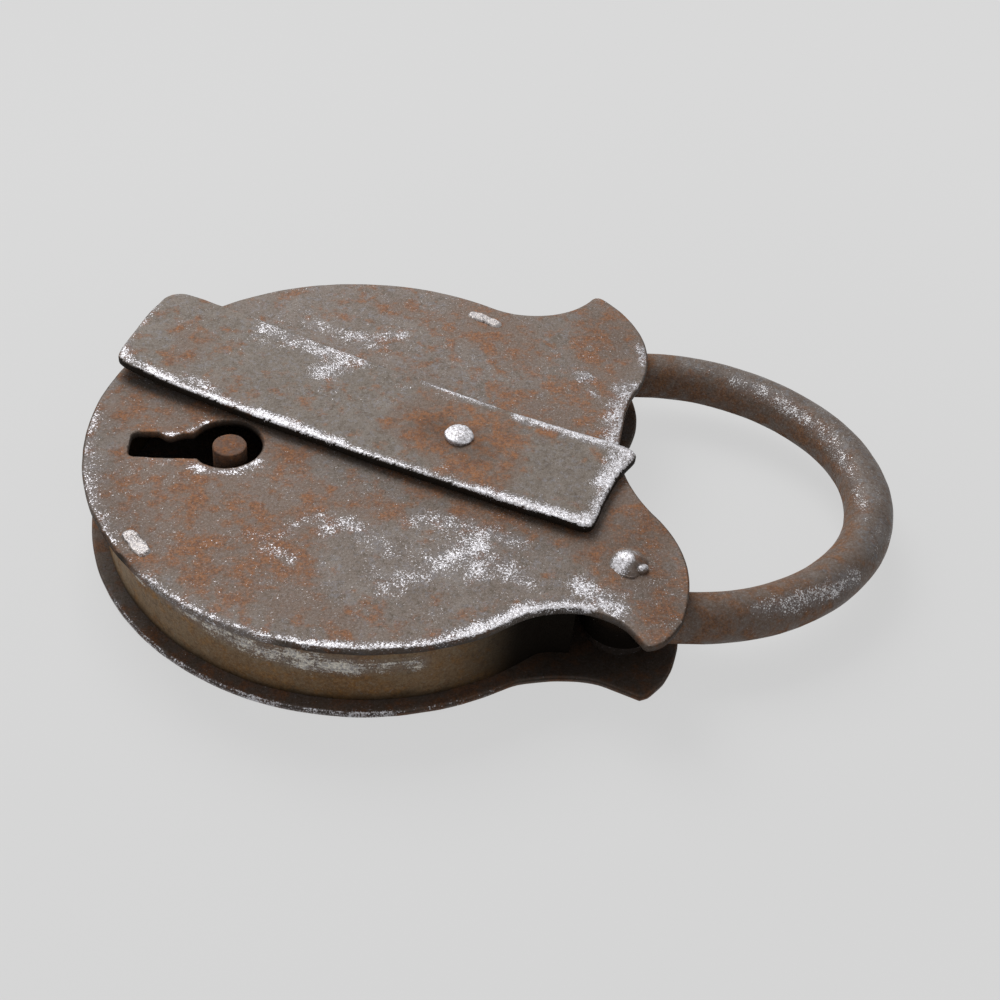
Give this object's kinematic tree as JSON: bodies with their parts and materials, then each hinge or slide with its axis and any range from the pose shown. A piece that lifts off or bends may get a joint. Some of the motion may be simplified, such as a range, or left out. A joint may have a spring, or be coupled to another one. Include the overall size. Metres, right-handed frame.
{
  "type": "padlock",
  "caption": "Old riveted plate padlock with a round body, hinged round shackle, swinging keyhole cover and warded dead bolt, worn and rusty.",
  "frame": {"origin": "centre of the round body on the outer face of the back plate", "axes": "+X from the round body to the shackle's bow, +Z out of the front plate with the keyhole, +Y towards the shackle's free leg"},
  "size_m": [0.1495, 0.1, 0.0208],
  "materials": {
    "plate_rust": "grey-brown oxide with orange rust clouds, pitted, rubbed bright along the near edge",
    "wall_patina": "dark olive-brown patina with bright scrapes",
    "shackle_iron": "brown oxide, rubbed grey on top of the bow",
    "cover_iron": "grey-brown oxide, edges rubbed to bright metal, rust round the rivet",
    "worn_rivet": "peened head rubbed bright, rust in its rim",
    "pin_iron": "dull grey-brown iron",
    "inner_iron": "dark oiled iron with thin rust",
    "spring_steel": "dark spring steel"
  },
  "bodies": {
    "case": {"back_plate": "plate_rust", "case_band": "wall_patina", "front_wall": "wall_patina", "front_plate": "plate_rust", "hinge_rivet": "worn_rivet", "hinge_spacer_back": "inner_iron", "hinge_spacer_front": "inner_iron", "key_pin": "pin_iron", "ward_ring": "inner_iron", "nose_stump": "pin_iron", "slot_stump": "inner_iron", "bolt_bridge": "inner_iron", "detent_spring": "spring_steel", "spring_post": "inner_iron", "cover_rivet": "worn_rivet"},
    "shackle": {"shackle": "shackle_iron"},
    "cover": {"keyhole_cover": "cover_iron"},
    "bolt": {"bolt": "inner_iron"}
  },
  "joints": [
    {"name": "shackle_hinge", "type": "hinge", "parent": "case", "child": "shackle", "pos_m": [0.0452, -0.0302, 0.0085], "axis": [0, 0, -1], "range_deg": [0, 98]},
    {"name": "cover_swing", "type": "hinge", "parent": "case", "child": "cover", "pos_m": [0.0168, 0, 0.0182], "axis": [0, 0, 1], "range_deg": [-170, 130]},
    {"name": "bolt_slide", "type": "slide", "parent": "case", "child": "bolt", "axis": [0, 1, 0], "range_m": [0, 0.005]}
  ]
}
